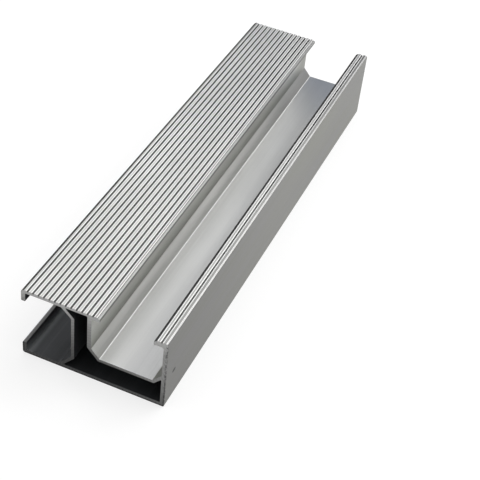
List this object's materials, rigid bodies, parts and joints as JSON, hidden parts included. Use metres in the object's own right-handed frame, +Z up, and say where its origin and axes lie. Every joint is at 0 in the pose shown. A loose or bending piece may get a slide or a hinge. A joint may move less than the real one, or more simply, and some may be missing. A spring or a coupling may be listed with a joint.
{
  "type": "solar mounting rail",
  "caption": "Short length of extruded aluminium mounting rail with a grooved top plate, a nut channel open to the top, a second one open to the side, and a closed hollow.",
  "frame": {"origin": "middle of the underside of the base, at mid length", "axes": "+Y along the rail, +Z up from the base to the grooved top, +X from the side channel to the plain outer wall"},
  "size_m": [0.061, 0.2256, 0.0334],
  "materials": {
    "aluminium": "mill finish, satin, with fine lines along the length"
  },
  "bodies": {
    "root": {"rail": "aluminium"}
  },
  "joints": []
}
